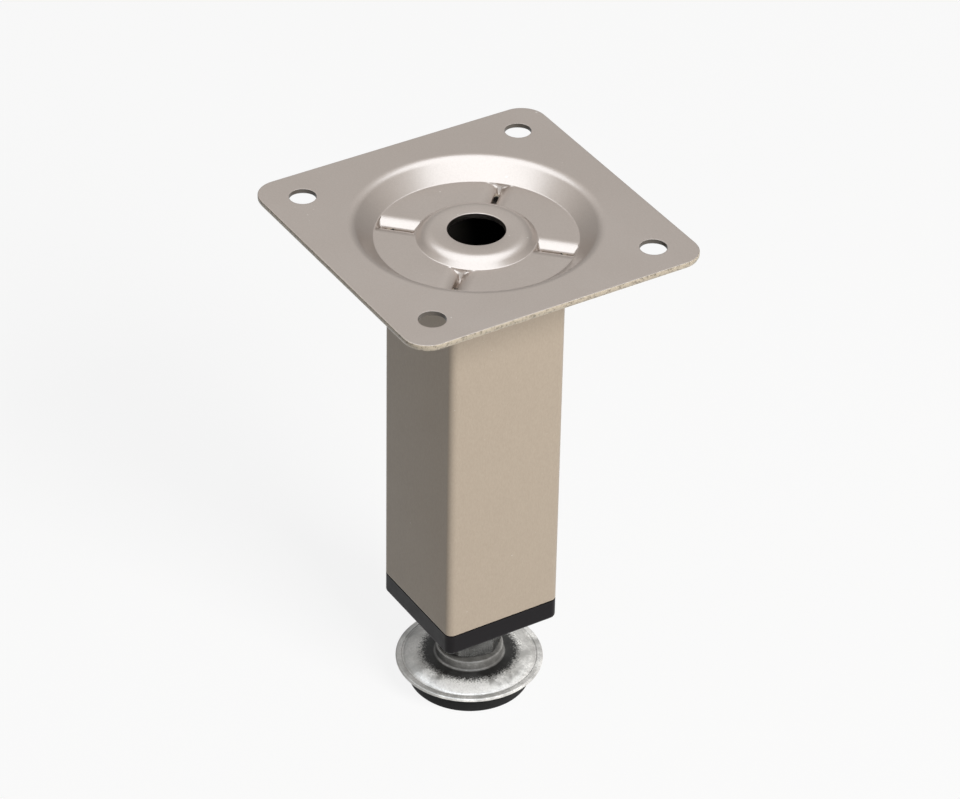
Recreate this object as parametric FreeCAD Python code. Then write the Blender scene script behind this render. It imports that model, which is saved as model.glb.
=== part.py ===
import FreeCAD, Part
import math
import os
from FreeCAD import Vector

# Square furniture leg with a pressed mounting plate and a screw foot.
# Millimetres and degrees. Z is up, the floor is Z = 0 and the leg stands on the Z axis.

# Mounting plate, pressed from one sheet
plate_size = 62.0
plate_thickness = 1.2
plate_corner_radius = 5.0
plate_edge_round = 0.15
screw_spacing = 47.0
screw_hole_diameter = 5.1

# Pressed dish of the plate, its flat weld ring and the hump round the middle hole
dish_wall_run = 4.9
dish_depth = 3.3
weld_ring_outer_margin = 2.04
weld_ring_inner_margin = 0.25
hump_height = 1.65
hump_land = 2.75
middle_hole_diameter = 10.9
middle_hole_round = 0.15

# Four radial weld beads, pressed down into the weld ring over the tube's corners
bead_depth = 2.1
bead_flank_angle = 60.0
bead_lip_radius = 0.9
bead_bottom_radius = 0.2
bead_end_slope = 62.0

# Square tube
tube_size = 25.0
tube_wall = 1.0
tube_length = 80.1
tube_corner_radius = 1.5
sharpest_inner_radius = 0.2

# Moulded end cap: a rim flush with the tube and a ribbed plug inside it
cap_rim_height = 4.5
cap_edge_round = 0.8
cap_floor_thickness = 3.0
plug_height = 12.0
plug_gap = 0.35
plug_wall = 1.5
plug_lead_in = 0.8
plug_corner_radius = 0.6
grip_rib_width = 1.2
grip_rib_spacing = 12.0
nut_pocket_wall = 1.5
nut_pocket_roof = 2.0
guide_wall = 1.7
web_thickness = 1.4

# Hexagon nut pressed into the cap from below
nut_across_flats = 13.0
nut_height = 6.5
nut_recess = 0.5

# Screw stud with its spanner hexagon, riveted into the flange so that it can turn
thread_diameter = 8.0
thread_clearance = 0.05
stud_hole_clearance = 0.3
thread_length = 25.9
thread_end_chamfer = 1.0
hexagon_across_flats = 12.0
hexagon_height = 5.0
hexagon_turn = 10.7
hexagon_to_cap = 3.8
neck_diameter = 10.0
neck_height = 0.75
journal_diameter = 6.0
running_clearance = 0.05
rivet_head_diameter = 8.8
rivet_head_height = 1.0
rivet_head_round = 0.4
hexagon_chamfer_angle = 30.0

# Foot flange with its collar
flange_diameter = 29.3
flange_rim_thickness = 0.7
flange_rise = 0.8
flange_shoulder = 1.8
rim_lip_width = 1.1
rim_groove_width = 0.6
rim_groove_depth = 0.25
rim_edge_round = 0.35
collar_diameter = 13.4
collar_height = 2.2
collar_edge_round = 0.35
collar_foot_round = 0.5
rivet_recess_diameter = 10.4
rivet_recess_depth = 1.5

# Rubber pad bonded under the flange
pad_diameter = 24.3
pad_height = 4.6
pad_edge_round = 0.6
pad_hollow_diameter = 15.0
pad_hollow_depth = 0.6

# Heights above the floor, stacked upwards from the pad
flange_underside = pad_height
flange_rim_top = flange_underside + flange_rim_thickness
collar_base = flange_rim_top + flange_rise
collar_top = collar_base + collar_height
rivet_recess_top = flange_underside + rivet_recess_depth
neck_bottom = collar_top + running_clearance
hexagon_bottom = neck_bottom + neck_height
hexagon_top = hexagon_bottom + hexagon_height
cap_bottom = hexagon_top + hexagon_to_cap
tube_bottom = cap_bottom + cap_rim_height
tube_top = tube_bottom + tube_length
weld_ring_top = tube_top + plate_thickness
plate_top = weld_ring_top + dish_depth

# Radii of the pressed dish: the weld ring spans the tube's wall and its corners
tube_corner_reach = tube_size / math.sqrt(2) - tube_corner_radius * (math.sqrt(2) - 1)
weld_ring_outer = tube_corner_reach + weld_ring_outer_margin
weld_ring_inner = tube_size / 2 - tube_wall - weld_ring_inner_margin
dish_radius = weld_ring_outer + dish_wall_run
hump_flat_radius = middle_hole_diameter / 2 + hump_land

axis_point = Vector(0, 0, 0)
up = Vector(0, 0, 1)
full_turn = 360.0


def at(radius, height):
    """Point of a turned section, which lies in the XZ plane."""
    return Vector(radius, 0, height)


def line(start, end):
    return Part.LineSegment(start, end).toShape()


def arc(centre, radius, start_angle, end_angle):
    """Arc in the XZ plane about a centre, with angles from +X towards +Z."""
    angles = (start_angle, (start_angle + end_angle) / 2, end_angle)
    points = []
    for angle in angles:
        turn = math.radians(angle)
        points.append(centre + at(radius * math.cos(turn), radius * math.sin(turn)))
    return Part.Arc(*points).toShape()


def turned(edges):
    """Solid of a closed section turned about the leg's axis."""
    section = Part.Face(Part.Wire(Part.__sortEdges__(edges)))
    return section.revolve(axis_point, up, full_turn)


def chain(points):
    """Straight edges through a list of points."""
    return [line(start, end) for start, end in zip(points, points[1:])]


def cylinder(diameter, bottom, top):
    return Part.makeCylinder(diameter / 2, top - bottom, Vector(0, 0, bottom))


def square_bar(size, corner_radius, bottom, top):
    """Upright square bar with rounded corners."""
    bar = Part.makeBox(size, size, top - bottom, Vector(-size / 2, -size / 2, bottom))
    return bar.makeFillet(corner_radius, upright_edges(bar))


def upright_edges(solid):
    return [edge for edge in solid.Edges if abs(edge.tangentAt(edge.FirstParameter).z) > 0.99]


def level_edges(solid, height):
    """Edges that lie wholly at one height."""
    return [edge for edge in solid.Edges if on_level(edge.BoundBox, height)]


def on_level(box, height, tolerance=0.001):
    return abs(box.ZMin - height) < tolerance and abs(box.ZMax - height) < tolerance


def hexagon_bar(across_flats, bottom, top, turn=0.0):
    """Upright hexagonal bar with its first corner at an angle from +X."""
    corner_radius = across_flats / math.sqrt(3)
    corners = []
    for number in range(7):
        angle = math.radians(turn + 60 * number)
        corners.append(Vector(corner_radius * math.cos(angle), corner_radius * math.sin(angle), bottom))
    return Part.Face(Part.makePolygon(corners)).extrude(Vector(0, 0, top - bottom))


def chamfered_hexagon(across_flats, bottom, top, turn=0.0):
    """Hexagon whose corners are turned off at both ends, as on a nut or a bolt head."""
    flat_radius = across_flats / 2
    corner_radius = across_flats / math.sqrt(3)
    drop = (corner_radius - flat_radius) * math.tan(math.radians(hexagon_chamfer_angle))
    outline = [
        at(0, bottom),
        at(flat_radius, bottom),
        at(corner_radius, bottom + drop),
        at(corner_radius, top - drop),
        at(flat_radius, top),
        at(0, top),
        at(0, bottom),
    ]
    return hexagon_bar(across_flats, bottom, top, turn).common(turned(chain(outline)))


def quarter_copies(shape):
    """A shape and its three copies, a quarter turn apart about the leg's axis."""
    copies = []
    for number in range(4):
        copy = shape.copy()
        copy.rotate(axis_point, up, number * full_turn / 4)
        copies.append(copy)
    return copies


# Mounting plate


def soft_roll_radius(run, drop):
    """Radius of an arc that leaves a flat smoothly and falls by drop over run."""
    return (run * run + drop * drop) / (2 * drop)


def dish_section():
    """Sheet section from the middle hole out to the flat border of the plate."""
    sheet = plate_thickness
    hole_radius = middle_hole_diameter / 2
    hump_top = weld_ring_top + hump_height

    wall_roll = soft_roll_radius(dish_wall_run, dish_depth)
    wall_centre = at(dish_radius, plate_top - wall_roll)
    wall_end = 90 + math.degrees(math.asin(dish_wall_run / wall_roll))
    wall_inner_roll = wall_roll - sheet
    under_ring_outer = under_edge_angle(wall_centre.z, wall_inner_roll)

    hump_run = weld_ring_inner - hump_flat_radius
    hump_roll = soft_roll_radius(hump_run, hump_height)
    hump_centre = at(hump_flat_radius, hump_top - hump_roll)
    hump_end = 90 - math.degrees(math.asin(hump_run / hump_roll))
    hump_inner_roll = hump_roll - sheet
    under_ring_inner = under_edge_angle(hump_centre.z, hump_inner_roll)

    wall_top = arc(wall_centre, wall_roll, 90, wall_end)
    wall_under = arc(wall_centre, wall_inner_roll, 90, 180 - under_ring_outer)
    hump_over = arc(hump_centre, hump_roll, 90, hump_end)
    hump_under = arc(hump_centre, hump_inner_roll, 90, under_ring_inner)
    under_outer = wall_centre.x - wall_inner_roll * math.cos(math.radians(under_ring_outer))
    under_inner = hump_centre.x + hump_inner_roll * math.cos(math.radians(under_ring_inner))
    rim = middle_hole_round
    rim_centre = at(hole_radius + rim, hump_top - rim)
    return [
        wall_top,
        line(at(weld_ring_outer, weld_ring_top), at(weld_ring_inner, weld_ring_top)),
        hump_over,
        line(at(hump_flat_radius, hump_top), at(hole_radius + rim, hump_top)),
        arc(rim_centre, rim, 90, 180),
        line(at(hole_radius, hump_top - rim), at(hole_radius, hump_top - sheet)),
        line(at(hole_radius, hump_top - sheet), at(hump_flat_radius, hump_top - sheet)),
        hump_under,
        line(at(under_inner, tube_top), at(under_outer, tube_top)),
        wall_under,
        line(at(dish_radius, plate_top - sheet), at(dish_radius, plate_top)),
    ]


def under_edge_angle(centre_height, radius):
    """Angle at which an arc of the sheet's underside meets the weld ring's underside."""
    return math.degrees(math.asin((tube_top - centre_height) / radius))


def bead_half_width():
    """Half width of a bead, from its depth, its flanks and its rounded lips and bottom."""
    flank = math.radians(bead_flank_angle)
    both = bead_lip_radius + bead_bottom_radius
    straight_drop = bead_depth - both * (1 - math.cos(flank))
    return both * math.sin(flank) + straight_drop / math.tan(flank)


def bead_bottom_centre():
    return at(0, weld_ring_top - bead_depth + bead_bottom_radius)


def along_ring(section_edges):
    """Section drawn across a bead, extruded along a radius over the weld ring."""
    section = Part.Face(Part.Wire(Part.__sortEdges__(section_edges)))
    section.rotate(axis_point, up, 90)
    section.translate(Vector(weld_ring_inner, 0, 0))
    return section.extrude(Vector(weld_ring_outer - weld_ring_inner, 0, 0))


def bead_side(top_height, bottom_height):
    """Block over the weld ring whose two ends slope inwards as they go down."""
    run = (top_height - bottom_height) / math.tan(math.radians(bead_end_slope))
    outline = [
        at(weld_ring_inner, top_height),
        at(weld_ring_outer, top_height),
        at(weld_ring_outer - run, bottom_height),
        at(weld_ring_inner + run, bottom_height),
        at(weld_ring_inner, top_height),
    ]
    block = Part.Face(Part.makePolygon(outline))
    reach = 2 * bead_half_width()
    block.translate(Vector(0, -reach, 0))
    return block.extrude(Vector(0, 2 * reach, 0))


def bead_groove():
    """Hollow of one bead on the upper side of the weld ring."""
    flank = bead_flank_angle
    half = bead_half_width()
    lip_height = weld_ring_top - bead_lip_radius
    lip_left = arc(at(-half, lip_height), bead_lip_radius, 90, 90 - flank)
    lip_right = arc(at(half, lip_height), bead_lip_radius, 90, 90 + flank)
    trough = arc(bead_bottom_centre(), bead_bottom_radius, 270 - flank, 270 + flank)
    flank_left = line(lip_left.Vertexes[-1].Point, trough.Vertexes[0].Point)
    flank_right = line(lip_right.Vertexes[-1].Point, trough.Vertexes[-1].Point)
    closing = line(at(half, weld_ring_top), at(-half, weld_ring_top))
    hollow = along_ring([lip_left, flank_left, trough, flank_right, lip_right, closing])
    return hollow.common(bead_side(weld_ring_top, weld_ring_top - bead_depth))


def bead_ridge():
    """Ridge that the same bead makes on the underside of the weld ring."""
    flank = bead_flank_angle
    ridge_radius = bead_bottom_radius + plate_thickness
    belly = arc(bead_bottom_centre(), ridge_radius, 270 - flank, 270 + flank)
    belly_end = belly.Vertexes[-1].Point
    foot = belly_end.x + (tube_top - belly_end.z) / math.tan(math.radians(flank))
    flank_left = line(at(-foot, tube_top), at(-belly_end.x, belly_end.z))
    flank_right = line(belly_end, at(foot, tube_top))
    closing = line(at(foot, tube_top), at(-foot, tube_top))
    ridge = along_ring([belly, flank_left, flank_right, closing])
    return ridge.common(bead_side(tube_top, tube_top - bead_depth))


def on_diagonals(shape):
    """Four copies of a shape on +X, moved to the four diagonals of the plate."""
    turned_shape = shape.copy()
    turned_shape.rotate(axis_point, up, full_turn / 8)
    return quarter_copies(turned_shape)


def screw_hole():
    """Drill through the border of the plate at one corner."""
    drill = cylinder(screw_hole_diameter, plate_top - plate_thickness, plate_top)
    drill.translate(Vector(screw_spacing / 2, screw_spacing / 2, 0))
    return drill


def make_mounting_plate():
    underside = plate_top - plate_thickness
    sheet = square_bar(plate_size, plate_corner_radius, underside, plate_top)
    sheet = sheet.makeFillet(plate_edge_round, level_edges(sheet, plate_top))
    sheet = sheet.cut(cylinder(2 * dish_radius, underside, plate_top))
    sheet = sheet.fuse(turned(dish_section())).removeSplitter()
    sheet = sheet.cut(on_diagonals(bead_groove()))
    sheet = sheet.fuse(on_diagonals(bead_ridge())).removeSplitter()
    return sheet.cut(quarter_copies(screw_hole()))


# Tube


def tube_inside_size():
    return tube_size - 2 * tube_wall


def tube_inside_radius():
    return max(tube_corner_radius - tube_wall, sharpest_inner_radius)


def make_leg_tube():
    """Square tube whose upper end is bitten by the four welded ridges of the plate."""
    outside = square_bar(tube_size, tube_corner_radius, tube_bottom, tube_top)
    inside = square_bar(tube_inside_size(), tube_inside_radius(), tube_bottom, tube_top)
    return outside.cut(inside).cut(on_diagonals(bead_ridge()))


# End cap


def plug_size():
    return tube_inside_size() - 2 * plug_gap


def nut_pocket_top():
    return cap_bottom + nut_recess + nut_height


def grip_rib():
    """One upright rib on the plug's +X side, which grips the tube's wall."""
    start = plug_size() / 2 - plug_wall / 2
    width = tube_inside_size() / 2 - start
    height = plug_height - plug_lead_in
    corner = Vector(start, grip_rib_spacing / 2 - grip_rib_width / 2, tube_bottom)
    return Part.makeBox(width, grip_rib_width, height, corner)


def grip_ribs():
    """Two ribs on each of the plug's four sides."""
    upper = grip_rib()
    lower = grip_rib()
    lower.translate(Vector(0, -grip_rib_spacing, 0))
    return quarter_copies(upper) + quarter_copies(lower)


def plug_outside():
    """Square plug above the rim, with a lead-in round its upper end."""
    top = tube_bottom + plug_height
    size = plug_size()
    block = Part.makeBox(size, size, plug_height, Vector(-size / 2, -size / 2, tube_bottom))
    block = block.makeChamfer(plug_lead_in, level_edges(block, top))
    return block.common(square_bar(size, plug_corner_radius, tube_bottom, top))


def plug_hollow():
    """Inside of the plug, from its floor up."""
    floor = cap_bottom + cap_floor_thickness
    return square_bar(plug_size() - 2 * plug_wall, sharpest_inner_radius, floor, tube_bottom + plug_height)


def cap_webs():
    """Cross of two webs that tie the nut pocket to the plug's walls."""
    length = plug_size() - plug_wall
    floor = cap_bottom + cap_floor_thickness
    height = tube_bottom + plug_height - plug_lead_in - floor
    half = web_thickness / 2
    web = Part.makeBox(length, web_thickness, height, Vector(-length / 2, -half, floor))
    cross_web = web.copy()
    cross_web.rotate(axis_point, up, full_turn / 4)
    return [web, cross_web]


def make_end_cap():
    top = tube_bottom + plug_height
    rim = square_bar(tube_size, tube_corner_radius, cap_bottom, tube_bottom)
    rim = rim.makeFillet(cap_edge_round, level_edges(rim, cap_bottom))
    body = rim.fuse(plug_outside()).cut(plug_hollow())

    pocket_top = nut_pocket_top()
    pocket_diameter = 2 * (nut_across_flats / math.sqrt(3) + nut_pocket_wall)
    stud_hole = thread_diameter + 2 * stud_hole_clearance
    pocket_body = cylinder(pocket_diameter, cap_bottom + cap_floor_thickness, pocket_top + nut_pocket_roof)
    guide = cylinder(stud_hole + 2 * guide_wall, pocket_top, top)
    body = body.fuse([pocket_body, guide] + cap_webs() + grip_ribs())
    pocket = hexagon_bar(nut_across_flats, cap_bottom, pocket_top)
    bore = cylinder(stud_hole, cap_bottom, top)
    return body.cut([pocket, bore]).removeSplitter()


def make_captive_nut():
    bottom = cap_bottom + nut_recess
    top = bottom + nut_height
    body = chamfered_hexagon(nut_across_flats, bottom, top)
    bore = cylinder(thread_diameter + 2 * thread_clearance, bottom, top)
    return body.cut(bore)


# Screw foot


def make_adjusting_stud():
    """Threaded rod, spanner hexagon, neck, bearing journal and riveted end, in one piece."""
    rod_radius = thread_diameter / 2
    rod_top = hexagon_top + thread_length
    head_top = rivet_recess_top - running_clearance
    head_bottom = head_top - rivet_head_height
    head_radius = rivet_head_diameter / 2
    neck_radius = neck_diameter / 2
    outline = [
        at(0, rod_top),
        at(rod_radius - thread_end_chamfer, rod_top),
        at(rod_radius, rod_top - thread_end_chamfer),
        at(rod_radius, hexagon_bottom),
        at(neck_radius, hexagon_bottom),
        at(neck_radius, neck_bottom),
        at(journal_diameter / 2, neck_bottom),
        at(journal_diameter / 2, head_top),
        at(head_radius, head_top),
        at(head_radius, head_bottom + rivet_head_round),
    ]
    corner = at(head_radius - rivet_head_round, head_bottom + rivet_head_round)
    closing = [at(head_radius - rivet_head_round, head_bottom), at(0, head_bottom), at(0, rod_top)]
    rounding = arc(corner, rivet_head_round, 0, -90)
    stem = turned(chain(outline) + [rounding] + chain(closing))
    hexagon = chamfered_hexagon(hexagon_across_flats, hexagon_bottom, hexagon_top, hexagon_turn)
    return stem.fuse(hexagon).removeSplitter()


def make_foot_flange():
    """Domed flange with a rolled lip at its rim and a collar that carries the stud."""
    bore = journal_diameter / 2 + running_clearance
    rim = flange_diameter / 2
    collar = collar_diameter / 2
    lip_inner = rim - rim_lip_width
    groove_inner = lip_inner - rim_groove_width
    recess = rivet_recess_diameter / 2
    top_round = collar_edge_round
    foot_round = collar_foot_round
    edge = rim_edge_round
    groove_mid = at((lip_inner + groove_inner) / 2, flange_rim_top - rim_groove_depth)
    groove = Part.Arc(at(groove_inner, flange_rim_top), groove_mid, at(lip_inner, flange_rim_top)).toShape()
    shoulder = collar + foot_round + flange_shoulder
    dome_run = groove_inner - shoulder
    dome_roll = soft_roll_radius(dome_run, flange_rise)
    dome_end = 90 - math.degrees(math.asin(dome_run / dome_roll))
    edges = [
        line(at(bore, rivet_recess_top), at(bore, collar_top)),
        line(at(bore, collar_top), at(collar - top_round, collar_top)),
        arc(at(collar - top_round, collar_top - top_round), top_round, 90, 0),
        line(at(collar, collar_top - top_round), at(collar, collar_base + foot_round)),
        arc(at(collar + foot_round, collar_base + foot_round), foot_round, 180, 270),
        line(at(collar + foot_round, collar_base), at(shoulder, collar_base)),
        arc(at(shoulder, collar_base - dome_roll), dome_roll, 90, dome_end),
        groove,
        line(at(lip_inner, flange_rim_top), at(rim - edge, flange_rim_top)),
        arc(at(rim - edge, flange_rim_top - edge), edge, 90, 0),
        line(at(rim, flange_rim_top - edge), at(rim, flange_underside)),
        line(at(rim, flange_underside), at(recess, flange_underside)),
        line(at(recess, flange_underside), at(recess, rivet_recess_top)),
        line(at(recess, rivet_recess_top), at(bore, rivet_recess_top)),
    ]
    return turned(edges)


def make_foot_pad():
    """Rubber disc that stands on a ring round its hollow middle."""
    radius = pad_diameter / 2
    hollow = pad_hollow_diameter / 2
    edge = pad_edge_round
    outline = [
        at(radius, edge),
        at(radius, pad_height),
        at(0, pad_height),
        at(0, pad_hollow_depth),
        at(hollow - pad_hollow_depth, pad_hollow_depth),
        at(hollow, 0),
        at(radius - edge, 0),
    ]
    return turned(chain(outline) + [arc(at(radius - edge, edge), edge, 270, 360)])


def export_parts():
    pieces = {
        "mounting_plate": make_mounting_plate(),
        "leg_tube": make_leg_tube(),
        "end_cap": make_end_cap(),
        "captive_nut": make_captive_nut(),
        "adjusting_stud": make_adjusting_stud(),
        "foot_flange": make_foot_flange(),
        "foot_pad": make_foot_pad(),
    }
    os.makedirs("parts", exist_ok=True)
    for name, shape in pieces.items():
        solid = shape.Solids[0] if len(shape.Solids) == 1 else shape
        solid.exportStep(os.path.join("parts", name + ".step"))
        print(name, "solids", len(shape.Solids), "valid", shape.isValid(), "mm3", round(shape.Volume, 1))


export_parts()
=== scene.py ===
import math

import bmesh
import bpy
from mathutils import Matrix, Vector


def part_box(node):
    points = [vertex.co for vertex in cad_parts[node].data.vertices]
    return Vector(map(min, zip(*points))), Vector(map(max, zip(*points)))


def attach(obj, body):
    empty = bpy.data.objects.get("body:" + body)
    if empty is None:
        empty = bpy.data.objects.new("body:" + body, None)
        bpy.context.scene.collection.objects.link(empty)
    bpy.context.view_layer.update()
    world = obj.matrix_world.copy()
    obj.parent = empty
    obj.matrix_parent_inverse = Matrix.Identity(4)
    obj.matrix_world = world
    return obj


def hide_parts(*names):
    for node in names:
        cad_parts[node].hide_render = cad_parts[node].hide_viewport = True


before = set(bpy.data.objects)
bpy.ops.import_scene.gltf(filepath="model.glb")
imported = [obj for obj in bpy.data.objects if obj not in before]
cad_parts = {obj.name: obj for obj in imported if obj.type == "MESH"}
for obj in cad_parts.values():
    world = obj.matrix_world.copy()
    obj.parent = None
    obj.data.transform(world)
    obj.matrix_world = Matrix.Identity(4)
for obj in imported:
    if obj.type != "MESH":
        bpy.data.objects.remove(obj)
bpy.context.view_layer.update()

# Lengths below are in millimetres unless they carry MM; Z is up and the floor is Z = 0
MM = 0.001

# Camera of the photograph, solved from the plate's edges, its holes and the tube's edges
CAMERA_AZIMUTH = 58.06
CAMERA_ELEVATION = 35.21
CAMERA_ROLL = 1.056
CAMERA_DISTANCE = 737.6 * MM
CAMERA_SHIFT_RIGHT = 0.61 * MM
CAMERA_SHIFT_UP = -32.77 * MM
CAMERA_LENS = 150.26
SENSOR_WIDTH = 36.0

# Studio: tints of the lamps, the sky's greys by height, and the floor's side in metres
SKYLIGHT = (0.81, 0.93, 1.06)
KEY_TINT = (1.0, 0.98, 0.95)
SKY_GREYS = ((0.0, 0.52), (0.3, 0.6), (0.5, 0.81), (0.58, 0.95), (0.75, 1.0))
FILL_STRENGTH = 0.06
BACKDROP_STRENGTH = 0.94
FLOOR_SIZE = 6.0
FLOOR_WHITE = 0.7
FLOOR_WHITE_SHARE = 0.88

# Heights read from the solids
plate_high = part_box("mounting_plate")[1]
tube_low, tube_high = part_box("leg_tube")
stud_low, stud_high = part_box("adjusting_stud")
flange_low, flange_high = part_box("foot_flange")
pad_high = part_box("foot_pad")[1]
PLATE_TOP = plate_high.z / MM
TUBE_TOP = tube_high.z / MM
TUBE_BOTTOM = tube_low.z / MM
STUD_TOP = stud_high.z / MM
STUD_BOTTOM = stud_low.z / MM
FLANGE_UNDERSIDE = flange_low.z / MM
COLLAR_TOP = flange_high.z / MM
PAD_TOP = pad_high.z / MM

# Mounting plate
PLATE_SIZE = 62.0
PLATE_THICKNESS = 1.2
PLATE_CORNER = 5.0
PLATE_EDGE_ROLL = 0.15
SHEARED_EDGE_INSET = 0.22
SHEARED_DEPTH = 0.45
SHEARED_STEP_IN = 0.05
SHEARED_STEP_DOWN = 0.06
SCREW_SPACING = 47.0
SCREW_HOLE_RADIUS = 2.55
SCREW_HOLE_ROLL = 0.08
SCREW_HOLE_DEBURR_DEPTH = 0.4
SCREW_HOLE_DEBURR_WIDTH = 0.48
DISH_RADIUS = 24.0
DISH_DEPTH = 3.3
DISH_ROLL = 2.8
RING_OUTER = 19.1
RING_INNER = 11.25
HUMP_HEIGHT = 1.65
HUMP_FLAT = 8.2
HUMP_ROLL = 3.3
HOLE_RADIUS = 5.45
HOLE_ROLL = 0.15
HOLE_CHAMFER = 0.1
CREASE_SOFTNESS = 0.14
FLAT_STRIP = 0.25
RING_TOP = PLATE_TOP - DISH_DEPTH
RING_UNDERSIDE = RING_TOP - PLATE_THICKNESS

# Weld beads pressed into the ring over the tube's corners: soft lips and a narrow slot
BEAD_DEPTH = 2.1
BEAD_HALF = 3.1
BEAD_MARGIN = 0.2
BEAD_LIP_RADIUS = 4.0
BEAD_SLOT_HALF = 0.5
BEAD_RIDGE_FLANK = math.radians(60)
BEAD_RIDGE_RADIUS = 1.4
BEAD_END_SLOPE = 62.0
BEAD_END_SOFTNESS = 0.7
BEAD_COLUMNS = 34
GAP_COLUMNS = 20

# Tube
TUBE_SIZE = 25.0
TUBE_WALL = 1.0
TUBE_CORNER = 1.5
TUBE_INNER_CORNER = 0.5
CUT_END_ROUND = 0.2
CUT_END_STRIP = 0.3
TUBE_END_GAP = 0.12
TUBE_LOOPS = (30, 3)

# Stud
THREAD_RADIUS = 4.0
THREAD_DEPTH = 0.7
THREAD_PITCH = 1.25
THREAD_END_CHAMFER = 1.0
THREAD_RUN_OUT = 1.3
THREAD_CREST_SHARE = 0.125
THREAD_ROOT_SHARE = 0.25
THREAD_FLANK_SHARE = (1 - THREAD_CREST_SHARE - THREAD_ROOT_SHARE) / 2
THREAD_PLATING_GAP = 0.03
HEXAGON_FLATS = 12.0
HEXAGON_HEIGHT = 5.0
HEXAGON_TURN = 10.7
HEXAGON_CHAMFER = 30.0
HEXAGON_CORNER_CUT = 0.07
HEXAGON_LAND_INSET = 0.15
NECK_RADIUS = 5.0
NECK_HEIGHT = 0.75
JOURNAL_RADIUS = 3.0
JOURNAL_CLEARANCE = 0.05
NECK_CHAMFER = 0.15
RIVET_RADIUS = 4.4
RIVET_HEIGHT = 1.0
RIVET_ROUND = 0.4

# Foot flange and pad
FLANGE_RADIUS = 14.65
FLANGE_RIM = 0.7
FLANGE_RISE = 0.8
FLANGE_SHOULDER = 1.8
LIP_WIDTH = 1.1
GROOVE_WIDTH = 0.6
GROOVE_DEPTH = 0.18
RIM_ROUND = 0.35
RIM_UNDER_ROUND = 0.2
LIP_EASE = 0.45
BORE_CHAMFER = 0.12
COLLAR_RADIUS = 6.7
COLLAR_ROUND = 0.35
COLLAR_FOOT_ROUND = 0.5
RECESS_RADIUS = 5.2
RECESS_DEPTH = 1.5
PAD_RADIUS = 12.15
PAD_ROUND = 0.6
PAD_TOP_ROUND = 0.15
PAD_HOLLOW_RADIUS = 7.5
PAD_HOLLOW_DEPTH = 0.6

# Columns of a turned piece, and the radius at which a turned face ends at its middle
LATHE_COLUMNS = 180
SCREW_HOLE_COLUMNS = 72
MIDDLE_POINT = 0.02

# Colours of places that look different from the rest of their piece; some are painted shade or a
# painted highlight
PALE_FLECK = (0.72, 0.7, 0.66)
SHEARED_STEEL = (0.43, 0.375, 0.295)
SHEARED_PIT = (0.1, 0.085, 0.07)
# Painted shade on the walls of the screw holes
SCREW_HOLE_SHADE = (0.09, 0.08, 0.07)
# Painted shade in the tube's hollow
TUBE_HOLLOW_SHADE = (0.012, 0.011, 0.01)
# Painted shade on one side of the flange
SIDE_SHADE = (0.3, 0.29, 0.275)
# Painted highlight on the flange's side towards the camera
PAINTED_HIGHLIGHT = (0.97, 0.97, 0.96)
# Painted shade round the collar, under the cap
COLLAR_SHADE = (0.012, 0.012, 0.012)

# Sides of the flange that get painted shade and a painted highlight, as directions on the floor
SHADED_SIDE = (-0.53, -0.85, 0)
HIGHLIGHT_SIDE = (0.85, -0.53, 0)

# Radii on the flange between which the painted shade round the collar ends, and the painted highlight
# ends at the lip
SHADE_RING_INNER = 9.0
SHADE_RING_OUTER = 10.3
HIGHLIGHT_INNER = 12.6
HIGHLIGHT_OUTER = 13.1


def arc_points(centre, radius, start, end, steps):
    """Points (radius from the axis, height) along an arc, angles in degrees from outwards to up."""
    points = []
    for step in range(steps + 1):
        turn = math.radians(start + (end - start) * step / steps)
        points.append((centre[0] + radius * math.cos(turn), centre[1] + radius * math.sin(turn)))
    return points


def eased_corner(before, corner, after, steps=4):
    """A small curve in place of a sharp corner of a section."""
    points = []
    for step in range(steps + 1):
        share = step / steps
        weights = ((1 - share) ** 2, 2 * share * (1 - share), share ** 2)
        pairs = list(zip(weights, (before, corner, after)))
        points.append(tuple(sum(weight * point[axis] for weight, point in pairs) for axis in (0, 1)))
    return points


def evenly(start, end, steps):
    """Numbers from start to end with both included."""
    return [start + (end - start) * step / steps for step in range(steps + 1)]


def skin(mesh, rows):
    """Closed band of faces through loops that have the same number of points."""
    loops = [[mesh.verts.new(point) for point in row] for row in rows]
    count = len(loops[0])
    for lower, upper in zip(loops, loops[1:]):
        for index in range(count):
            after = (index + 1) % count
            mesh.faces.new((lower[index], lower[after], upper[after], upper[index]))
    return loops


def ring_row(radius, height, columns=LATHE_COLUMNS):
    turns = [2 * math.pi * column / columns for column in range(columns)]
    return [(radius * math.cos(turn), radius * math.sin(turn), height) for turn in turns]


def rounded_square(size, corner, height, steps=8, inset=0.0):
    """Loop round a square with rounded corners, moved inwards by an inset."""
    half = size / 2 - inset
    radius = corner - inset
    points = []
    for quarter, (side_x, side_y) in enumerate(((1, 1), (-1, 1), (-1, -1), (1, -1))):
        for step in range(steps + 1):
            turn = math.radians(90 * quarter + 90 * step / steps)
            x = side_x * (half - radius) + radius * math.cos(turn)
            y = side_y * (half - radius) + radius * math.sin(turn)
            points.append((x, y, height))
    return points


def finish_piece(name, mesh, body, nodes, material, sharp_angle=32):
    """Turns a mesh in millimetres into a piece that rides on a body and stands for CAD nodes."""
    bmesh.ops.remove_doubles(mesh, verts=mesh.verts, dist=0.0005)
    bmesh.ops.scale(mesh, vec=(MM, MM, MM), verts=mesh.verts)
    bmesh.ops.recalc_face_normals(mesh, faces=mesh.faces)
    data = bpy.data.meshes.new(name)
    mesh.to_mesh(data)
    mesh.free()
    data.materials.append(material)
    data.shade_smooth()
    data.set_sharp_from_angle(angle=math.radians(sharp_angle))
    piece = bpy.data.objects.new(name, data)
    bpy.context.scene.collection.objects.link(piece)
    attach(piece, body)
    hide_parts(*nodes)
    return piece


# Mounting plate


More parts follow.
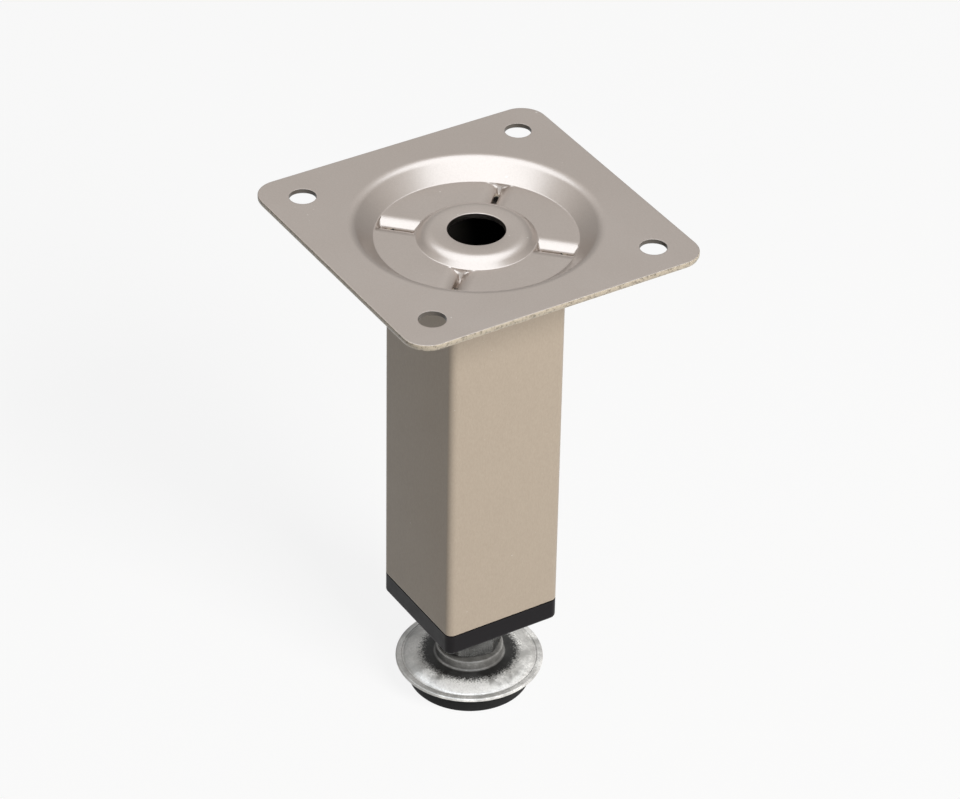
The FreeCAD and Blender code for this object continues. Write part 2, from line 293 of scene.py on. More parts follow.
def plate_columns():
    """Columns round the plate: offsets across each bead, then shares of the way to the next one."""
    columns = []
    reach = BEAD_HALF + BEAD_MARGIN
    for quarter in range(4):
        for offset in evenly(-reach, reach, 2 * BEAD_COLUMNS):
            columns.append((quarter, offset, None))
        for share in evenly(0, 1, GAP_COLUMNS)[1:-1]:
            columns.append((quarter, reach, share))
    return columns


def column_angle(column, radius):
    """Angle of a column at a radius: columns keep parallel to a bead near it."""
    quarter, offset, share = column
    diagonal = math.pi / 4 + quarter * math.pi / 2
    start = diagonal + math.asin(offset / radius)
    if share is None:
        return start
    return start + share * (math.pi / 2 - 2 * math.asin(offset / radius))


def lip_depth(run):
    """Depth of a bead's soft lip at a distance in from its edge."""
    return BEAD_LIP_RADIUS - math.sqrt(BEAD_LIP_RADIUS ** 2 - run ** 2)


def groove_depth(offset):
    """Depth of a bead's hollow at a distance from its middle line."""
    distance = abs(offset)
    if distance >= BEAD_HALF:
        return 0.0
    if distance >= BEAD_SLOT_HALF:
        return lip_depth(BEAD_HALF - distance)
    lip = lip_depth(BEAD_HALF - BEAD_SLOT_HALF)
    return lip + (BEAD_DEPTH - lip) * math.cos(math.pi / 2 * distance / BEAD_SLOT_HALF)


def ridge_depth(offset):
    """How far the same bead stands out of the ring's underside."""
    distance = abs(offset)
    centre_depth = BEAD_DEPTH - BEAD_RIDGE_RADIUS
    belly_end = BEAD_RIDGE_RADIUS * math.sin(BEAD_RIDGE_FLANK)
    if distance < belly_end:
        return centre_depth + math.sqrt(BEAD_RIDGE_RADIUS ** 2 - distance ** 2)
    end_depth = centre_depth + BEAD_RIDGE_RADIUS * math.cos(BEAD_RIDGE_FLANK)
    return max(end_depth - (distance - belly_end) * math.tan(BEAD_RIDGE_FLANK), 0.0)


def soft_lesser(first, second, softness):
    """The lesser of two depths, with the change from one to the other rounded off."""
    if softness <= 0 or abs(first - second) >= softness:
        return min(first, second)
    return min(first, second) - (softness - abs(first - second)) ** 2 / (4 * softness)


def bead_drop(column, radius, section):
    """Fall of the ring's surface at a column, which fades at the ring's edges."""
    to_edge = min(radius - RING_INNER, RING_OUTER - radius)
    if column[2] is not None or to_edge <= 0:
        return 0.0
    end = to_edge * math.tan(math.radians(BEAD_END_SLOPE))
    depth = section(column[1])
    return soft_lesser(depth, end, min(BEAD_END_SOFTNESS, depth, end))


def plate_row(radius, height, columns, section=None):
    points = []
    for column in columns:
        turn = column_angle(column, radius)
        drop = bead_drop(column, radius, section) if section else 0.0
        points.append((radius * math.cos(turn), radius * math.sin(turn), height - drop))
    return points


def ring_radii():
    """Radii over the weld ring, close together where the beads end."""
    fade = BEAD_DEPTH / math.tan(math.radians(BEAD_END_SLOPE)) + 0.1
    inner = evenly(RING_INNER + CREASE_SOFTNESS, RING_INNER + fade, 10)
    outer = evenly(RING_OUTER - fade, RING_OUTER - CREASE_SOFTNESS, 10)
    middle = evenly(inner[-1], outer[0], 12)[1:-1]
    return inner + middle + outer


def slope_angle(run, drop, roll):
    """Steepest angle of a surface that rolls off level ground and runs straight to its foot."""
    reach = math.hypot(run, roll - drop)
    return math.atan2(run, roll - drop) - math.acos(roll / reach)


def rolled_slope(start, outwards, angle, roll, depth_below=0.0, steps=14):
    """Arc from level ground to the slope's angle, or the same arc inside the sheet."""
    radius = roll - depth_below
    points = []
    for turn in evenly(0, angle, steps):
        r = start[0] + outwards * radius * math.sin(turn)
        points.append((r, start[1] - roll + radius * math.cos(turn)))
    return points


def eased_foot(top, corner, beyond):
    """Small curve where a straight slope that comes down from the top meets the ring."""
    length = math.dist(top, corner)
    share = CREASE_SOFTNESS / length
    before = tuple(c + (t - c) * share for t, c in zip(top, corner))
    return eased_corner(before, corner, beyond)


def hump_section():
    """Upper surface from the middle hole's wall to the foot of the hump."""
    hump_top = RING_TOP + HUMP_HEIGHT
    rim = arc_points((HOLE_RADIUS + HOLE_ROLL, hump_top - HOLE_ROLL), HOLE_ROLL, 180, 90, 6)
    angle = slope_angle(RING_INNER - HUMP_FLAT, HUMP_HEIGHT, HUMP_ROLL)
    slope = rolled_slope((HUMP_FLAT, hump_top), 1, angle, HUMP_ROLL)
    foot = eased_foot(slope[-1], (RING_INNER, RING_TOP), (RING_INNER + CREASE_SOFTNESS, RING_TOP))
    return rim + [(HUMP_FLAT - FLAT_STRIP, hump_top)] + slope + foot


def wall_section():
    """Upper surface from the foot of the dish's wall to the plate's flat border."""
    angle = slope_angle(DISH_RADIUS - RING_OUTER, DISH_DEPTH, DISH_ROLL)
    slope = rolled_slope((DISH_RADIUS, PLATE_TOP), -1, angle, DISH_ROLL)
    foot = eased_foot(slope[-1], (RING_OUTER, RING_TOP), (RING_OUTER - CREASE_SOFTNESS, RING_TOP))
    return list(reversed(slope + foot)) + [(DISH_RADIUS + FLAT_STRIP, PLATE_TOP)]


def slope_under_ring(foot_radius, outwards, angle):
    """Radius where the underside of a slope meets the underside of the ring."""
    shift = PLATE_THICKNESS * (math.sin(angle) - (1 - math.cos(angle)) / math.tan(angle))
    return foot_radius - outwards * shift


def underside_section():
    """Lower surface from the flat border in to the middle hole, as (radius, height, over a bead)."""
    underside = PLATE_TOP - PLATE_THICKNESS
    rows = [(DISH_RADIUS + FLAT_STRIP, underside, False)]
    angle = slope_angle(DISH_RADIUS - RING_OUTER, DISH_DEPTH, DISH_ROLL)
    wall = rolled_slope((DISH_RADIUS, PLATE_TOP), -1, angle, DISH_ROLL, PLATE_THICKNESS)
    rows += [(*point, False) for point in wall]
    rows.append((slope_under_ring(RING_OUTER, -1, angle), RING_UNDERSIDE, False))
    rows += [(radius, RING_UNDERSIDE, True) for radius in reversed(ring_radii())]
    angle = slope_angle(RING_INNER - HUMP_FLAT, HUMP_HEIGHT, HUMP_ROLL)
    rows.append((slope_under_ring(RING_INNER, 1, angle), RING_UNDERSIDE, False))
    hump = rolled_slope((HUMP_FLAT, RING_TOP + HUMP_HEIGHT), 1, angle, HUMP_ROLL, PLATE_THICKNESS)
    rows += [(*point, False) for point in reversed(hump)]
    bottom = RING_TOP + HUMP_HEIGHT - PLATE_THICKNESS
    chamfer = HOLE_CHAMFER
    return rows + [(HOLE_RADIUS + chamfer, bottom, False), (HOLE_RADIUS, bottom + chamfer, False)]


def plate_rows(columns):
    """Loops over the whole pressed middle, from the underside through the hole to the top."""
    rows = []
    for radius, height, beaded in underside_section():
        rows.append(plate_row(radius, height, columns, ridge_depth if beaded else None))
    rows += [plate_row(radius, height, columns) for radius, height in hump_section()]
    rows += [plate_row(radius, RING_TOP, columns, groove_depth) for radius in ring_radii()[1:-1]]
    rows += [plate_row(radius, height, columns) for radius, height in wall_section()]
    return rows


def loop_edges(mesh, loop):
    """Edges along a closed loop of points of the mesh, made where they are missing."""
    edges = []
    for first, second in zip(loop, loop[1:] + loop[:1]):
        edges.append(mesh.edges.get((first, second)) or mesh.edges.new((first, second)))
    return edges


def edge_section():
    """Outer edge of the sheet as (inset, height): rolled above, sheared below."""
    underside = PLATE_TOP - PLATE_THICKNESS
    roll = PLATE_EDGE_ROLL
    rows = [(roll + FLAT_STRIP, PLATE_TOP)]
    for step in range(7):
        turn = math.radians(90 * step / 6)
        rows.append((roll - roll * math.sin(turn), PLATE_TOP - roll + roll * math.cos(turn)))
    shear_top = underside + SHEARED_DEPTH
    rows += [(0.0, shear_top), (SHEARED_STEP_IN, shear_top - SHEARED_STEP_DOWN)]
    return rows + [(SHEARED_EDGE_INSET, underside), (SHEARED_EDGE_INSET + FLAT_STRIP, underside)]


def hole_section():
    """Wall of a screw hole as (radius, height), from the top surface to the underside."""
    roll = SCREW_HOLE_ROLL
    underside = PLATE_TOP - PLATE_THICKNESS
    rows = [(SCREW_HOLE_RADIUS + roll + FLAT_STRIP, PLATE_TOP)]
    for step in range(5):
        turn = math.radians(90 * step / 4)
        rows.append((
            SCREW_HOLE_RADIUS + roll - roll * math.sin(turn),
            PLATE_TOP - roll + roll * math.cos(turn),
        ))
    wall_end = underside + SCREW_HOLE_DEBURR_DEPTH
    deburred = SCREW_HOLE_RADIUS + SCREW_HOLE_DEBURR_WIDTH
    return rows + [
        (SCREW_HOLE_RADIUS, wall_end),
        (deburred, underside),
        (deburred + FLAT_STRIP, underside),
    ]


def make_plate(material):
    mesh = bmesh.new()
    middle = skin(mesh, plate_rows(plate_columns()))
    edge_rows = [
        rounded_square(PLATE_SIZE, PLATE_CORNER, height, steps=14, inset=inset)
        for inset, height in edge_section()
    ]
    edge = skin(mesh, edge_rows)
    top_loops = [middle[-1], edge[0]]
    under_loops = [middle[0], edge[-1]]
    reach = SCREW_SPACING / 2
    for x, y in ((reach, reach), (-reach, reach), (-reach, -reach), (reach, -reach)):
        rows = []
        for radius, height in hole_section():
            ring = ring_row(radius, height, SCREW_HOLE_COLUMNS)
            rows.append([(x + px, y + py, pz) for px, py, pz in ring])
        wall = skin(mesh, rows)
        top_loops.append(wall[0])
        under_loops.append(wall[-1])
    for loops in (top_loops, under_loops):
        edges = [one for loop in loops for one in loop_edges(mesh, loop)]
        bmesh.ops.triangle_fill(mesh, use_beauty=True, use_dissolve=False, edges=edges)
    return finish_piece(
        "pressed_plate", mesh, "leg", ["mounting_plate"], material,
        sharp_angle=40,
    )


# Tube


def make_tube(material):
    """Square tube with its lower end slightly rounded by the finish."""
    soft = CUT_END_ROUND
    low = TUBE_BOTTOM + TUBE_END_GAP
    inner_size = TUBE_SIZE - 2 * TUBE_WALL
    rows = []
    loops = [low + rise for rise in TUBE_LOOPS]
    for height in (TUBE_TOP, *loops, low + soft + CUT_END_STRIP):
        rows.append(rounded_square(TUBE_SIZE, TUBE_CORNER, height))
    for step in range(5):
        turn = math.radians(90 * step / 4)
        rise = soft - soft * math.sin(turn)
        inset = soft - soft * math.cos(turn)
        rows.append(rounded_square(TUBE_SIZE, TUBE_CORNER, low + rise, inset=inset))
    for height in (low, low + CUT_END_STRIP, TUBE_TOP):
        rows.append(rounded_square(inner_size, TUBE_INNER_CORNER, height))
    rows.append(rows[0])
    mesh = bmesh.new()
    skin(mesh, rows)
    return finish_piece("square_tube", mesh, "leg", ["leg_tube"], material)


# Stud


def stud_columns():
    """Angles round the stud in degrees, with two beside each corner of the hexagon."""
    columns = []
    half_cut = hexagon_cut_angle()
    for corner in range(6):
        start = HEXAGON_TURN + 60 * corner
        columns += [start - half_cut, start + half_cut]
        columns += [start + 5 * step for step in range(1, 12)]
    return columns


def hexagon_cut_angle():
    """Half the angle that a corner's small flat takes up."""
    flat_radius = HEXAGON_FLATS / 2
    corner_radius = HEXAGON_FLATS / math.sqrt(3) - HEXAGON_CORNER_CUT
    return 30 - math.degrees(math.acos(flat_radius / corner_radius))


def hexagon_radius(angle):
    """Distance from the axis to the hexagon's side at an angle in degrees."""
    from_middle = (angle - HEXAGON_TURN) % 60 - 30
    return HEXAGON_FLATS / 2 / math.cos(math.radians(from_middle))


def stud_row(columns, radius_at, height_at):
    points = []
    for angle in columns:
        turn = math.radians(angle)
        radius = radius_at(angle)
        points.append((radius * math.cos(turn), radius * math.sin(turn), height_at(radius)))
    return points


def round_row(columns, radius, height):
    return stud_row(columns, lambda angle: radius, lambda distance: height)


def hexagon_rows(columns, bottom, top):
    """Hexagon with its corners turned off to a cone at both ends."""
    flat_radius = HEXAGON_FLATS / 2
    slope = math.tan(math.radians(HEXAGON_CHAMFER))
    land = flat_radius - HEXAGON_LAND_INSET
    return [
        round_row(columns, land, bottom),
        stud_row(columns, hexagon_radius, lambda distance: bottom + (distance - land) * slope),
        stud_row(columns, hexagon_radius, lambda distance: top - (distance - land) * slope),
        round_row(columns, land, top),
    ]


def thread_share(phase):
    """How deep the thread's groove is at a share of its pitch, from 0 at the crest to 1 at the root."""
    root = THREAD_ROOT_SHARE
    flank = THREAD_FLANK_SHARE
    if phase < flank:
        return phase / flank
    if phase < flank + root:
        return 1.0
    if phase < 2 * flank + root:
        return (2 * flank + root - phase) / flank
    return 0.0


def thread_radius(angle, height, bottom, top):
    """Radius of the right-handed thread, fading near the hexagon and turned off at its end."""
    phase = (height / THREAD_PITCH - angle / 360) % 1.0
    fade = min(max((height - bottom) / THREAD_RUN_OUT, 0), 1)
    radius = THREAD_RADIUS - THREAD_PLATING_GAP - THREAD_DEPTH * thread_share(phase) * fade
    return min(radius, THREAD_RADIUS - THREAD_END_CHAMFER + top - height)


def thread_columns(columns, bottom, top):
    """Points up each column that follow the helix, held between the two ends."""
    root = THREAD_ROOT_SHARE
    flank = THREAD_FLANK_SHARE
    phases = (0, flank / 2, flank, flank + root, 1.5 * flank + root, 2 * flank + root)
    first_turn = math.floor(bottom / THREAD_PITCH) - 2
    turns = math.ceil((top - bottom) / THREAD_PITCH) + 4
    made = []
    for angle in columns:
        heights = []
        for turn in range(turns):
            shift = first_turn + turn + angle / 360
            heights += [(shift + phase) * THREAD_PITCH for phase in phases]
        points = []
        for height in heights:
            held = min(max(height, bottom), top)
            radius = thread_radius(angle, held, bottom, top)
            wind = math.radians(angle)
            points.append((radius * math.cos(wind), radius * math.sin(wind), held))
        made.append(points)
    return made, len(phases)


def thread_skin(mesh, columns, bottom, top):
    """Faces of the thread; the last column meets the first one a pitch higher."""
    points, rows_in_turn = thread_columns(columns, bottom, top)
    grid = [[mesh.verts.new(point) for point in column] for column in points]
    rows = len(grid[0])
    for index in range(len(grid)):
        last = index == len(grid) - 1
        beside = grid[0] if last else grid[index + 1]
        shift = rows_in_turn if last else 0
        for row in range(rows - 1 - shift):
            mesh.faces.new((
                grid[index][row],
                beside[row + shift],
                beside[row + shift + 1],
                grid[index][row + 1],
            ))


def make_stud(material):
    """Threaded rod, spanner hexagon, neck, journal and riveted end in one skin."""
    columns = stud_columns()
    neck_bottom = COLLAR_TOP + JOURNAL_CLEARANCE
    hexagon_bottom = neck_bottom + NECK_HEIGHT
    hexagon_top = hexagon_bottom + HEXAGON_HEIGHT
    rivet_top = STUD_BOTTOM + RIVET_HEIGHT
    round_centre = (RIVET_RADIUS - RIVET_ROUND, STUD_BOTTOM + RIVET_ROUND)
    rounding = arc_points(round_centre, RIVET_ROUND, 270, 360, 4)
    turned = [(MIDDLE_POINT, STUD_BOTTOM)] + rounding + [
        (RIVET_RADIUS, rivet_top),
        (JOURNAL_RADIUS, rivet_top),
        (JOURNAL_RADIUS, neck_bottom),
        (NECK_RADIUS - NECK_CHAMFER, neck_bottom),
        (NECK_RADIUS, neck_bottom + NECK_CHAMFER),
        (NECK_RADIUS, hexagon_bottom),
    ]
    rows = [round_row(columns, radius, height) for radius, height in turned]
    rows += hexagon_rows(columns, hexagon_bottom, hexagon_top)
    rows.append(stud_row(
        columns,
        lambda angle: thread_radius(angle, hexagon_top, hexagon_top, STUD_TOP),
        lambda distance: hexagon_top,
    ))
    mesh = bmesh.new()
    skin(mesh, rows)
    thread_skin(mesh, columns, hexagon_top, STUD_TOP)
    end_radius = THREAD_RADIUS - THREAD_END_CHAMFER
    skin(mesh, [round_row(columns, end_radius, STUD_TOP), round_row(columns, MIDDLE_POINT, STUD_TOP)])
    return finish_piece(
        "threaded_stud", mesh, "stud", ["adjusting_stud"], material,
        sharp_angle=28,
    )


# Foot


def flange_section():
    """Closed section of the flange, from the bore over the collar, dome, groove and lip."""
    bore = JOURNAL_RADIUS + JOURNAL_CLEARANCE
    rim_top = FLANGE_UNDERSIDE + FLANGE_RIM
    collar_base = rim_top + FLANGE_RISE
    lip_inner = FLANGE_RADIUS - LIP_WIDTH
    groove_inner = lip_inner - GROOVE_WIDTH
    foot = COLLAR_RADIUS + COLLAR_FOOT_ROUND
    shoulder = foot + FLANGE_SHOULDER
    dome_run = groove_inner - shoulder
    dome_roll = (dome_run ** 2 + FLANGE_RISE ** 2) / (2 * FLANGE_RISE)
    dome_end = 90 - math.degrees(math.asin(dome_run / dome_roll))
    top_round = (COLLAR_RADIUS - COLLAR_ROUND, COLLAR_TOP - COLLAR_ROUND)
    groove_bottom = ((lip_inner + groove_inner) / 2, rim_top - 2 * GROOVE_DEPTH)
    recess_top = FLANGE_UNDERSIDE + RECESS_DEPTH
    section = [(bore, recess_top), (bore, COLLAR_TOP - BORE_CHAMFER), (bore + BORE_CHAMFER, COLLAR_TOP)]
    section += arc_points(top_round, COLLAR_ROUND, 90, 0, 6)
    section += arc_points((foot, collar_base + COLLAR_FOOT_ROUND), COLLAR_FOOT_ROUND, 180, 270, 8)
    section += arc_points((shoulder, collar_base - dome_roll), dome_roll, 90, dome_end, 14)[:-1]
    section += eased_corner((groove_inner, rim_top), groove_bottom, (lip_inner, rim_top), 6)
    lip_top = [(lip_inner + share * LIP_EASE, rim_top) for share in (0, 2 / 3, 1)]
    section += eased_corner(*lip_top, 2)
    section += arc_points((FLANGE_RADIUS - RIM_ROUND, rim_top - RIM_ROUND), RIM_ROUND, 90, 0, 6)
    under = RIM_UNDER_ROUND
    section += arc_points((FLANGE_RADIUS - under, FLANGE_UNDERSIDE + under), under, 0, -90, 4)
    section += [(RECESS_RADIUS, FLANGE_UNDERSIDE), (RECESS_RADIUS, recess_top)]
    return section + section[:1]


def make_flange(material):
    mesh = bmesh.new()
    skin(mesh, [ring_row(radius, height) for radius, height in flange_section()])
    return finish_piece("domed_flange", mesh, "foot", ["foot_flange"], material)


def pad_section():
    """Section of the rubber pad from the middle of its top round to the middle of its hollow."""
    soft = PAD_TOP_ROUND
    top_edge = arc_points((PAD_RADIUS - soft, PAD_TOP - soft), soft, 90, 0, 3)
    foot_edge = arc_points((PAD_RADIUS - PAD_ROUND, PAD_ROUND), PAD_ROUND, 0, -90, 6)
    return [(MIDDLE_POINT, PAD_TOP)] + top_edge + foot_edge + [
        (PAD_HOLLOW_RADIUS, 0.0),
        (PAD_HOLLOW_RADIUS - PAD_HOLLOW_DEPTH, PAD_HOLLOW_DEPTH),
        (MIDDLE_POINT, PAD_HOLLOW_DEPTH),
    ]


def make_pad(material):
    mesh = bmesh.new()
    skin(mesh, [ring_row(radius, height) for radius, height in pad_section()])
    return finish_piece("rubber_pad", mesh, "foot", ["foot_pad"], material)


# Materials


def new_material(name):
    material = bpy.data.materials.new(name)
    material.use_nodes = True
    return material, material.node_tree, material.node_tree.nodes["Principled BSDF"]


def object_space(tree, stretch=(1, 1, 1)):
    """Coordinates that stay with the piece, in metres, stretched along its axes."""
    source = tree.nodes.new("ShaderNodeTexCoord")
    mapping = tree.nodes.new("ShaderNodeMapping")
    mapping.inputs["Scale"].default_value = stretch
    tree.links.new(source.outputs["Object"], mapping.inputs["Vector"])
    return mapping.outputs["Vector"]


def noise(tree, space, grain, detail, roughness=0.55):
    """Noise whose features are about one grain across, in millimetres."""
    texture = tree.nodes.new("ShaderNodeTexNoise")
    texture.inputs["Scale"].default_value = 1 / (grain * MM)
    texture.inputs["Detail"].default_value = detail
    texture.inputs["Roughness"].default_value = roughness
    tree.links.new(space, texture.inputs["Vector"])
    return texture.outputs["Fac"]


def spread(tree, value, low, high, to_low, to_high):
    """Value between two limits brought to another range and held inside it."""
    node = tree.nodes.new("ShaderNodeMapRange")
    node.inputs["From Min"].default_value = low
    node.inputs["From Max"].default_value = high
    node.inputs["To Min"].default_value = to_low
    node.inputs["To Max"].default_value = to_high
    tree.links.new(value, node.inputs["Value"])
    return node.outputs["Result"]


def blend_colours(tree, share, first, second):
    """Colour between two others; each is a colour or another node's output."""
    node = tree.nodes.new("ShaderNodeMix")
    node.data_type = "RGBA"
    tree.links.new(share, node.inputs["Factor"])
    for socket, colour in ((node.inputs["A"], first), (node.inputs["B"], second)):
        put_colour(tree, socket, colour)
    return node.outputs["Result"]


def put_colour(tree, socket, colour):
    if isinstance(colour, tuple):
        socket.default_value = (*colour, 1)
    else:
        tree.links.new(colour, socket)


def bump(tree, height, depth, strength, below=None):
    """Bump of a depth in millimetres, on top of another one."""
    node = tree.nodes.new("ShaderNodeBump")
    node.inputs["Distance"].default_value = depth * MM
    node.inputs["Strength"].default_value = strength
    tree.links.new(height, node.inputs["Height"])
    if below:
        tree.links.new(below, node.inputs["Normal"])
    return node.outputs["Normal"]


def satin_nickel(name, light, dark, roughness, stretch):
    """Satin plating: fine matt grain, faint clouds and a few specks.

    Gives the material, its node tree, its shader and the colour so far.
    """
    material, tree, shader = new_material(name)
    clouds = noise(tree, object_space(tree), grain=14, detail=2)
    grain = noise(tree, object_space(tree, stretch), grain=0.28, detail=4, roughness=0.7)
    specks = noise(tree, object_space(tree), grain=0.9, detail=1, roughness=0.3)
    base = blend_colours(tree, spread(tree, grain, 0.3, 0.7, 0, 1), dark, light)
    fleck = spread(tree, specks, 0.8, 0.84, 0, 0.5)
    base = blend_colours(tree, fleck, base, PALE_FLECK)
    tree.links.new(base, shader.inputs["Base Color"])
    shader.inputs["Specular IOR Level"].default_value = 0.2
    cloudy = spread(tree, clouds, 0.3, 0.7, roughness - 0.03, roughness + 0.03)
    tree.links.new(cloudy, shader.inputs["Roughness"])
    tree.links.new(bump(tree, grain, depth=0.012, strength=0.6), shader.inputs["Normal"])
    return material, tree, shader, base


def plate_nickel():
    """Plating on the pressed sheet; its sheared edges are duller and speckled, and its screw hole walls
    are painted near black as shade.
    """
    material, tree, shader, base = satin_nickel(
        "plate_nickel", light=(0.47, 0.412, 0.37), dark=(0.422, 0.37, 0.33),
        roughness=0.31, stretch=(1, 1, 1),
    )
    edge = sheared_edge(tree)
    pits = noise(tree, object_space(tree), grain=0.7, detail=3, roughness=0.8)
    pitted = spread(tree, pits, 0.5, 0.62, 0, 0.7)
    dull = blend_colours(tree, pitted, SHEARED_STEEL, SHEARED_PIT)
    # Painted shade: the walls of the screw holes are near black
    past_holes = PLATE_SIZE / 2 - 3
    outline = spread(tree, square_reach(tree), past_holes * MM, (past_holes + 0.5) * MM, 0, 1)
    dull = blend_colours(tree, outline, SCREW_HOLE_SHADE, dull)
    tree.links.new(blend_colours(tree, edge, base, dull), shader.inputs["Base Color"])
    tree.links.new(spread(tree, edge, 0, 1, 1.0, 0.05), shader.inputs["Metallic"])
    return material


def tube_nickel():
    """Plating on the tube; its hollow is painted near black as shade."""
    material, tree, shader, base = satin_nickel(
        "tube_nickel", light=(0.365, 0.308, 0.246), dark=(0.322, 0.27, 0.216),
        roughness=0.36, stretch=(1, 1, 0.4),
    )
    # Painted shade: the inside of the tube is near black
    inner = TUBE_SIZE / 2 - TUBE_WALL
    hollow = spread(tree, square_reach(tree), (inner + 0.1) * MM, (inner + 0.2) * MM, 1, 0)
    tree.links.new(blend_colours(tree, hollow, base, TUBE_HOLLOW_SHADE), shader.inputs["Base Color"])
    shader.inputs["Metallic"].default_value = 0.04
    return material


def multiply(tree, first, second):
    node = tree.nodes.new("ShaderNodeMath")
    node.operation = "MULTIPLY"
    tree.links.new(first, node.inputs[0])
    tree.links.new(second, node.inputs[1])
    return node.outputs[0]


def from_axis(tree):
    """Distance from the leg's axis, in metres."""
    flat = tree.nodes.new("ShaderNodeVectorMath")
    flat.operation = "MULTIPLY"
    flat.inputs[1].default_value = (1, 1, 0)
    tree.links.new(object_space(tree), flat.inputs[0])
    length = tree.nodes.new("ShaderNodeVectorMath")
    length.operation = "LENGTH"
    tree.links.new(flat.outputs["Vector"], length.inputs[0])
    return length.outputs["Value"]


def sheared_edge(tree):
    """1 where the sheet was cut: steep faces outside the dish."""
    source = tree.nodes.new("ShaderNodeTexCoord")
    axes = tree.nodes.new("ShaderNodeSeparateXYZ")
    tree.links.new(source.outputs["Normal"], axes.inputs["Vector"])
    steep = spread(tree, axes.outputs["Z"], 0.75, 0.93, 1, 0)
    outside = spread(tree, from_axis(tree), (DISH_RADIUS + 1) * MM, (DISH_RADIUS + 1.5) * MM, 0, 1)
    return multiply(tree, steep, outside)


def square_reach(tree):
    """Distance from the leg's axis to the nearest square round it, as half of that square's side."""
    axes = tree.nodes.new("ShaderNodeSeparateXYZ")
    tree.links.new(object_space(tree), axes.inputs["Vector"])
    furthest = tree.nodes.new("ShaderNodeMath")
    furthest.operation = "MAXIMUM"
    for name, socket in zip(("X", "Y"), furthest.inputs):
        size = tree.nodes.new("ShaderNodeMath")
        size.operation = "ABSOLUTE"
        tree.links.new(axes.outputs[name], size.inputs[0])
        tree.links.new(size.outputs[0], socket)
    return furthest.outputs[0]


def zinc(name, light, dark, roughness, metallic, stretch):
    """Barrel plated zinc: blotches, fine grain and small dents.

    Gives the material, its node tree, its shader, the colour so far and the two noises.
    """
    material, tree, shader = new_material(name)
    blotch = noise(tree, object_space(tree), grain=4.5, detail=4, roughness=0.6)
    grain = noise(tree, object_space(tree, stretch), grain=0.35, detail=4, roughness=0.8)
    base = blend_colours(tree, spread(tree, blotch, 0.36, 0.6, 0, 1), dark, light)
    base = blend_colours(tree, spread(tree, grain, 0.42, 0.66, 0, 0.7), base, dark)
    tree.links.new(base, shader.inputs["Base Color"])
    shader.inputs["Metallic"].default_value = metallic
    shader.inputs["Specular IOR Level"].default_value = 0.3
    worn = spread(tree, blotch, 0.3, 0.7, roughness + 0.08, roughness - 0.06)
    tree.links.new(worn, shader.inputs["Roughness"])
    dents = bump(tree, blotch, depth=0.05, strength=0.5)
    grained = bump(tree, grain, depth=0.02, strength=0.6, below=dents)
    tree.links.new(grained, shader.inputs["Normal"])
    return material, tree, shader, base, blotch, grain


def along(tree, direction):
    """Distance from the leg's axis in a direction, in metres."""
    node = tree.nodes.new("ShaderNodeVectorMath")
    node.operation = "DOT_PRODUCT"
    node.inputs[1].default_value = direction
    tree.links.new(object_space(tree), node.inputs[0])
    return node.outputs["Value"]


def soft_step(tree, value, reach, grain, start, end, height):
    """Rise from 0 to a height between two distances, which a noise moves by up to half the reach."""
    ragged = tree.nodes.new("ShaderNodeMath")
    ragged.operation = "MULTIPLY_ADD"
    ragged.inputs[1].default_value = reach * MM
    tree.links.new(grain, ragged.inputs[0])
    tree.links.new(value, ragged.inputs[2])
    middle = reach / 2
    return spread(tree, ragged.outputs[0], (start + middle) * MM, (end + middle) * MM, 0, height)


def plated_flange():
    """Zinc of the flange, with painted shade on one side and round the collar and a painted highlight
    on another side.
    """
    material, tree, shader, base, blotch, grain = zinc(
        "flange_zinc", light=(0.95, 0.935, 0.9), dark=(0.42, 0.41, 0.39),
        roughness=0.36, metallic=0.5, stretch=(1, 1, 1),
    )
    # Painted shade on one side of the flange
    side_shade = soft_step(tree, along(tree, SHADED_SIDE), 3, grain, 2, 9, 0.6)
    base = blend_colours(tree, side_shade, base, SIDE_SHADE)
    # Painted highlight on the side towards the camera, fading out at the lip
    inside_lip = spread(tree, from_axis(tree), HIGHLIGHT_INNER * MM, HIGHLIGHT_OUTER * MM, 1, 0.15)
    grainy = spread(tree, grain, 0.35, 0.6, 0.95, 0.6)
    highlight = soft_step(tree, along(tree, HIGHLIGHT_SIDE), 14, blotch, 6.5, 9.0, 1)
    highlight = multiply(tree, multiply(tree, highlight, inside_lip), grainy)
    base = blend_colours(tree, highlight, base, PAINTED_HIGHLIGHT)
    # Painted shade round the collar, under the cap
    base = blend_colours(tree, painted_collar_shade(tree, grain), base, COLLAR_SHADE)
    tree.links.new(base, shader.inputs["Base Color"])
    tree.links.new(spread(tree, highlight, 0, 1, 0.55, 0.15), shader.inputs["Metallic"])
    return material


def painted_collar_shade(tree, grain):
    """Painted shade: nearly 1 on the flange by the collar, 0 further out with a ragged edge, less on
    the collar.
    """
    distance = from_axis(tree)
    unshaded = soft_step(tree, distance, -5, grain, SHADE_RING_INNER, SHADE_RING_OUTER, 1)
    outer = spread(tree, unshaded, 0, 1, 0.96, 0)
    collar_wall = (COLLAR_RADIUS + 0.05) * MM
    collar_foot = (COLLAR_RADIUS + COLLAR_FOOT_ROUND) * MM
    inner = spread(tree, distance, collar_wall, collar_foot, 0.6, 1)
    return multiply(tree, outer, inner)


